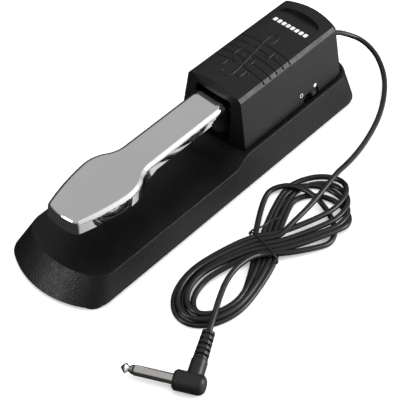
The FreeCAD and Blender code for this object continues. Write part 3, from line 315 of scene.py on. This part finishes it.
# Each turn, in the cord's order: its strand's number across the waist, which also sets the size of its
# lower loop, then its upper loop's middle (x, y), half width, half height, lean in degrees, and how many
# strands it lies on at each of its points.
TURNS = [
    (3, 81.0, 30.0, 17.5, 22.0, -3, (0, 0, 0, 0, 0, 0.7, 1, 1)),
    (2, 81.6, 27.0, 21.4, 20.0, 2, (0, 0, 0, 0, 0, 0.3, 1, 1)),
    (1, 74.5, 31.0, 17.2, 26.5, -12, (0, 0, 0, 0, 0.6, 1, 1, 1)),
    (4, 86.9, 25.0, 19.6, 16.0, 12, (0, 0, 0, 0, 0, 0, 0.5, 1)),
    (0, 78.5, 15.0, 28.0, 18.0, -12, (0, 0.3, 1, 1, 0.3, 0, 0, 0.4)),
]
TIE_RADIUS = 0.6
TIE_ROUND = [(82, -20.2, 0.7), (75, -19.4, 0.6), (69, -18.4, 0.8), (66, -17.6, 2.6), (66.8, -17.4, 6),
             (70.4, -17.6, 7.9), (78, -19, 8.1), (86, -21.2, 8.1), (91.4, -22.8, 7.4), (93.6, -23.4, 4.4),
             (92.4, -23.4, 1.6), (89, -22.6, 0.8), (85, -21.8, 0.7)]
TIE_TWIST = [(66.2, -18.8, 5.4), (66.6, -16.6, 7.6), (69.2, -14.2, 8.6), (70.6, -9.4, 8.7),
             (70.4, -4.2, 8.4), (72.4, 0.6, 8.2), (73, 3.4, 8.2)]


def waist_crossing(number, upper):
    """Two points, one each side of the waist.

    The upper layer's strands run down to the left, the lower layer's up to the left.
    """
    along = Vector((-WAIST_SLANT_X, -WAIST_SLANT_Y if upper else WAIST_SLANT_Y, 0))
    across = Vector((-WAIST_SLANT_Y if upper else WAIST_SLANT_Y, WAIST_SLANT_X, 0))
    middle_strand = 1.5 if upper else 2
    middle = WAIST + across * STRAND * (number - middle_strand)
    height = Vector((0, 0, CORD_RADIUS + (LAYER if upper else 0)))
    return [middle - along * WAIST_REACH + height, middle + along * WAIST_REACH + height]


def lower_loop(number):
    """One of the nested loops, anticlockwise from its upper left; odd strands lie in the grooves."""
    points = []
    middle = LOWER_MIDDLE_X - 0.5 * number + (1.5 if number == 0 else 0)
    half_width, half_height = 12.6 + 2.0 * number, 19.9 + 2.6 * number
    for step in range(LOOP_POINTS):
        angle = math.radians(160 + step * LOOP_SWEEP / (LOOP_POINTS - 1))
        lift = GROOVE * (number % 2)
        if step == 0:
            lift = (lift + LAYER) / 2
        points.append(Vector((middle + half_width * LOOP_SWELL * math.cos(angle),
                              LOWER_MIDDLE_Y + half_height * LOOP_SWELL * math.sin(angle),
                              CORD_RADIUS + lift)))
    return points


def upper_loop(x, y, half_width, half_height, lean, lifts):
    """One loose loop, clockwise from its lower left."""
    turn = math.radians(lean)
    points = []
    for step, lift in enumerate(lifts):
        angle = math.radians(200 - step * LOOP_SWEEP / (LOOP_POINTS - 1))
        across = half_width * LOOP_SWELL * math.cos(angle)
        along = half_height * LOOP_SWELL * math.sin(angle)
        points.append(Vector((x + across * math.cos(turn) - along * math.sin(turn),
                              y + across * math.sin(turn) + along * math.cos(turn),
                              CORD_RADIUS + LAYER * lift)))
    return points


def cord_points():
    """The whole centreline: the first run, the hank's turns one after another, and the last run."""
    points = [Vector(point) for point in CORD_ROUTE]
    for index, (number, *loop) in enumerate(TURNS):
        crossing = waist_crossing(number, upper=True)
        points += crossing[1:] if index == 0 else crossing      # the first run ends at the first crossing
        points += lower_loop(number)
        points += waist_crossing(number, upper=False)
        points += upper_loop(*loop)
    return points + [WAIST_END] + [Vector(point) for point in TAIL_ROUTE]


def add_spline(data, points):
    """An open spline through the first and last points and smoothly past those between."""
    spline = data.splines.new("NURBS")
    spline.points.add(len(points) - 1)
    for place, point in zip(spline.points, points):
        place.co = (*(point * MM), 1)
    spline.order_u = 3
    spline.use_endpoint_u = True


def smooth_curve(name, points, radius, material, sides=6):
    """A round wire whose centreline is one smooth open spline over the points, given in millimetres."""
    data = bpy.data.curves.new(name, "CURVE")
    data.dimensions = "3D"
    data.bevel_depth = radius * MM
    data.bevel_resolution = sides
    data.resolution_u = 8
    data.use_fill_caps = True
    add_spline(data, points)
    data.materials.append(material)
    piece = bpy.data.objects.new(name, data)
    bpy.context.collection.objects.link(piece)
    return piece


def spline_length(piece):
    """The length of a curve's centreline, in metres."""
    bare = piece.copy()
    bare.data = piece.data.copy()
    bare.data.bevel_depth = 0
    mesh = bpy.data.meshes.new_from_object(bare)
    places = [vertex.co.copy() for vertex in mesh.vertices]
    bpy.data.objects.remove(bare)
    bpy.data.meshes.remove(mesh)
    return sum((after - before).length for before, after in zip(places, places[1:]))


def add_cord():
    """The whole cable as one piece, from the gland to the plug's boot, and the tie round its hank."""
    cord = smooth_curve("cord", cord_points(), CORD_RADIUS, MATERIALS["cord_rubber"])
    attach(cord, "base")
    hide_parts("cord_tube", "cord_hank", "cord_tail")
    tie = smooth_curve("twist_tie", [Vector(point) for point in TIE_ROUND], TIE_RADIUS,
                       MATERIALS["tie_plastic"], sides=4)
    add_spline(tie.data, [Vector(point) for point in TIE_TWIST])
    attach(tie, "base")
    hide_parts("cord_tie")
    length = spline_length(cord)


add_cord()


# ---------------------------------------------------------------- return spring

def add_spring():
    """The return spring as a fixed coil of seven turns, filling the CAD spring's box."""
    low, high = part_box("return_spring")
    wire = 0.8 * MM
    turns, steps, sides = 7, 28, 10
    middle = (low + high) / 2
    radius = (high.x - low.x) / 2 - wire
    rise = high.z - low.z - 2 * wire
    made = bmesh.new()
    rings = []
    for step in range(turns * steps + 1):
        angle = 2 * math.pi * step / steps
        out = Vector((math.cos(angle), math.sin(angle), 0))
        centre = Vector((middle.x, middle.y, low.z + wire + rise * step / (turns * steps))) + out * radius
        ring = []
        for side in range(sides):
            around = 2 * math.pi * side / sides
            offset = out * math.cos(around) + Vector((0, 0, 1)) * math.sin(around)
            ring.append(made.verts.new(centre + offset * wire))
        rings.append(ring)
    for ring, after in zip(rings, rings[1:]):
        for side in range(sides):
            beside = (side + 1) % sides
            face = made.faces.new((ring[side], ring[beside], after[beside], after[side]))
            face.smooth = True
    made.faces.new(rings[0])
    made.faces.new(rings[-1][::-1])
    bmesh.ops.recalc_face_normals(made, faces=made.faces)
    mesh = bpy.data.meshes.new("spring_coils")
    made.to_mesh(mesh)
    made.free()
    mesh.materials.append(MATERIALS["spring_steel"])
    spring = bpy.data.objects.new("spring_coils", mesh)
    bpy.context.collection.objects.link(spring)
    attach(spring, "base")
    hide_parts("return_spring")
    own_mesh(spring)


add_spring()


# ---------------------------------------------------------------- relief and printing

# The housing's crowned top, the floor of its label recess, which falls away from its front edge, and its
# right wall, which leans in from WALL_X at the height WALL_Z.
CROWN_TOP, CROWN_RADIUS = 63.9, 71.0
LABEL_FRONT, LABEL_FALL = 80.0, 3.3 / 31
WALL_X, WALL_Z, WALL_LEAN = 26.865, 27.0, math.radians(8.55)

# The relief's signs: the clef in its own units of CLEF_UNIT, and a note's head and stem.
CLEF_X, CLEF_Y, CLEF_UNIT = -0.5, 53, 6.9
CLEF = [(0.1, -0.5), (-0.45, -0.25), (-0.4, 0.45), (0.15, 0.75), (0.85, 0.4), (0.95, -0.4), (0.4, -1.05),
        (-0.5, -1.05), (-1.3, -0.4), (-1.25, 0.7), (-0.5, 1.8), (0.35, 2.7), (0.65, 3.6), (0.4, 4.3),
        (0, 4.4), (-0.3, 3.6), (-0.1, 2.2), (0.25, 0), (0.55, -2), (0.5, -2.9), (-0.1, -3.25),
        (-0.65, -2.85), (-0.4, -2.4)]
NOTE_PLACES = [(-9.5, 38), (6.5, 36.5), (8.5, 62)]
NOTE_HEAD = [(0, 0), (1.3, 0.5), (1.6, 1.6), (0.5, 2.2), (-0.8, 1.6), (-1, 0.4), (0.2, 0)]
NOTE_STEM = [(1.5, 1.2), (1.5, 4), (1.5, 8.4), (2.6, 7.4), (3.8, 6.4), (3.9, 5)]


def on_crown(x, y, sink):
    """A point a little under the housing's crowned top."""
    return Vector((x, y, CROWN_TOP - CROWN_RADIUS + math.sqrt(CROWN_RADIUS ** 2 - x * x) - sink))


def add_relief():
    """Raised music signs across the staff lines: a clef and three small notes."""
    clef_sink, note_sink, bead_radius = 0.25, 0.3, 0.8
    clef = [on_crown(CLEF_X + CLEF_UNIT * u, CLEF_Y + CLEF_UNIT * v, clef_sink) for u, v in CLEF]
    relief = smooth_curve("top_relief", clef, bead_radius, MATERIALS["housing_plastic"], sides=4)
    for x, y in NOTE_PLACES:
        for stroke in (NOTE_HEAD, NOTE_STEM):
            add_spline(relief.data, [on_crown(x + u, y + v, note_sink) for u, v in stroke])
    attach(relief, "base")


def print_mesh(name, outlines, place):
    """Printing as thin raised plates; place turns an outline's (u, v, height) into metres."""
    raised, sunk = 0.05, -0.02
    made = bmesh.new()
    for outline in outlines:
        top = [made.verts.new(place(u, v, raised)) for u, v in outline]
        foot = [made.verts.new(place(u, v, sunk)) for u, v in outline]
        made.faces.new(top)
        for index, corner in enumerate(top):
            after = (index + 1) % len(top)
            made.faces.new((corner, foot[index], foot[after], top[after]))
        made.faces.new(foot[::-1])
    bmesh.ops.recalc_face_normals(made, faces=made.faces)
    mesh = bpy.data.meshes.new(name)
    made.to_mesh(mesh)
    made.free()
    mesh.materials.append(MATERIALS["print_white"])
    piece = bpy.data.objects.new(name, mesh)
    bpy.context.collection.objects.link(piece)
    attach(piece, "base")


def add_printing():
    """A plain row of bars in the label recess, and a ring and a dot for the switch's two places."""
    label_x, label_y = 0.5, 96.4
    count, pitch, half_width, half_height, cut = 8, 3.6, 1.25, 1.9, 0.45
    bars = []
    for index in range(count):
        x = pitch * (index - (count - 1) / 2)
        left, right = x - half_width, x + half_width
        bars.append([(left + cut, -half_height), (right - cut, -half_height), (right, cut - half_height),
                     (right, half_height - cut), (right - cut, half_height), (left + cut, half_height),
                     (left, half_height - cut), (left, cut - half_height)])

    def in_recess(u, v, height):
        y = label_y + v
        return Vector((label_x + u, y, CROWN_TOP - LABEL_FALL * (y - LABEL_FRONT) + height)) * MM

    print_mesh("label_sign", bars, in_recess)

    ring_y, ring_radius, ring_hole, dot_y, dot_radius, mark_z = 79, 1.5, 1.05, 93, 1.4, 29.4

    def on_wall(u, v, height):
        z = mark_z + v * math.cos(WALL_LEAN)
        out = WALL_X - math.tan(WALL_LEAN) * (z - WALL_Z) + height
        return Vector((out, u, z)) * MM

    marks = []
    sides = 24
    angles = [2 * math.pi * step / sides for step in range(sides)]
    circle = [(math.cos(angle), math.sin(angle)) for angle in angles]
    for (a, b), (c, d) in zip(circle, circle[1:] + circle[:1]):
        marks.append([(ring_y + ring_radius * a, ring_radius * b),
                      (ring_y + ring_radius * c, ring_radius * d),
                      (ring_y + ring_hole * c, ring_hole * d),
                      (ring_y + ring_hole * a, ring_hole * b)])
    marks.append([(dot_y + dot_radius * a, dot_radius * b) for a, b in circle])
    print_mesh("switch_marks", marks, on_wall)


add_relief()
add_printing()


# ---------------------------------------------------------------- floor, lights

def add_floor():
    """Pale floor, a little under the feet; glossy surfaces see the studio's sides instead of it."""
    half, drop = 4, 0.0002
    material, tree, shader, place = nodes_of("floor")
    mottle = remap(tree, noise(tree, place, scale=3), low=0, high=1)
    tree.links.new(blend_colours(tree, mottle, (0.84, 0.84, 0.84), (0.82, 0.82, 0.82)),
                   shader.inputs["Base Color"])
    shader.inputs["Roughness"].default_value = 0.8
    shader.inputs["Specular IOR Level"].default_value = 0.1
    shader.inputs["Emission Color"].default_value = (1, 1, 1, 1)
    shader.inputs["Emission Strength"].default_value = 0.3
    mesh = bpy.data.meshes.new("floor")
    mesh.from_pydata([(-half, -half, 0), (half, -half, 0), (half, half, 0), (-half, half, 0)], [],
                     [(0, 1, 2, 3)])
    mesh.materials.append(material)
    floor = bpy.data.objects.new("floor", mesh)
    floor.location.z = -drop
    floor.visible_glossy = False
    bpy.context.collection.objects.link(floor)


def add_light(name, place, width, height, power, mirrored=True):
    """A rectangular lamp turned to the pedal; one that isn't mirrored leaves no image in the chrome."""
    aim = Vector((0, 0, 0.02))
    data = bpy.data.lights.new(name, "AREA")
    data.shape = "RECTANGLE"
    data.size, data.size_y = width, height
    data.energy = power
    light = bpy.data.objects.new(name, data)
    light.location = place
    light.visible_glossy = mirrored
    light.rotation_mode = "QUATERNION"
    light.rotation_quaternion = (aim - Vector(place)).to_track_quat("-Z", "Y")
    bpy.context.collection.objects.link(light)


def add_world():
    """Dark room, grey overhead, with a broad light side to the right and behind."""
    light_side = (0.84, 0.54, -0.05)
    world = bpy.data.worlds.new("studio")
    world.use_nodes = True
    tree = world.node_tree
    direction = tree.nodes.new("ShaderNodeTexCoord").outputs["Generated"]
    split = tree.nodes.new("ShaderNodeSeparateXYZ")
    tree.links.new(direction, split.inputs[0])
    overhead = remap(tree, split.outputs["Z"], low=0.04, high=0.5, start=0.15, end=0.55)
    side = tree.nodes.new("ShaderNodeVectorMath")
    side.operation = "DOT_PRODUCT"
    side.inputs[1].default_value = light_side
    tree.links.new(direction, side.inputs[0])
    right = remap(tree, side.outputs["Value"], low=0, high=1.1, start=0.45, end=0.95)
    total = tree.nodes.new("ShaderNodeMath")
    total.operation = "ADD"
    tree.links.new(overhead, total.inputs[0])
    tree.links.new(right, total.inputs[1])
    tree.links.new(total.outputs[0], tree.nodes["Background"].inputs["Strength"])
    tree.nodes["Background"].inputs["Color"].default_value = (1, 1, 1, 1)
    bpy.context.scene.world = world


add_floor()
add_world()
bpy.context.scene.view_settings.view_transform = "Standard"
add_light("overhead", (0.05, 0.0, 1.3), width=1.5, height=1.5, power=16, mirrored=False)
add_light("right_softbox", (0.6, 0.44, 0.34), width=0.42, height=0.3, power=3.6)
add_light("front_softbox", (-0.28, -0.86, 0.46), width=0.3, height=0.3, power=3)
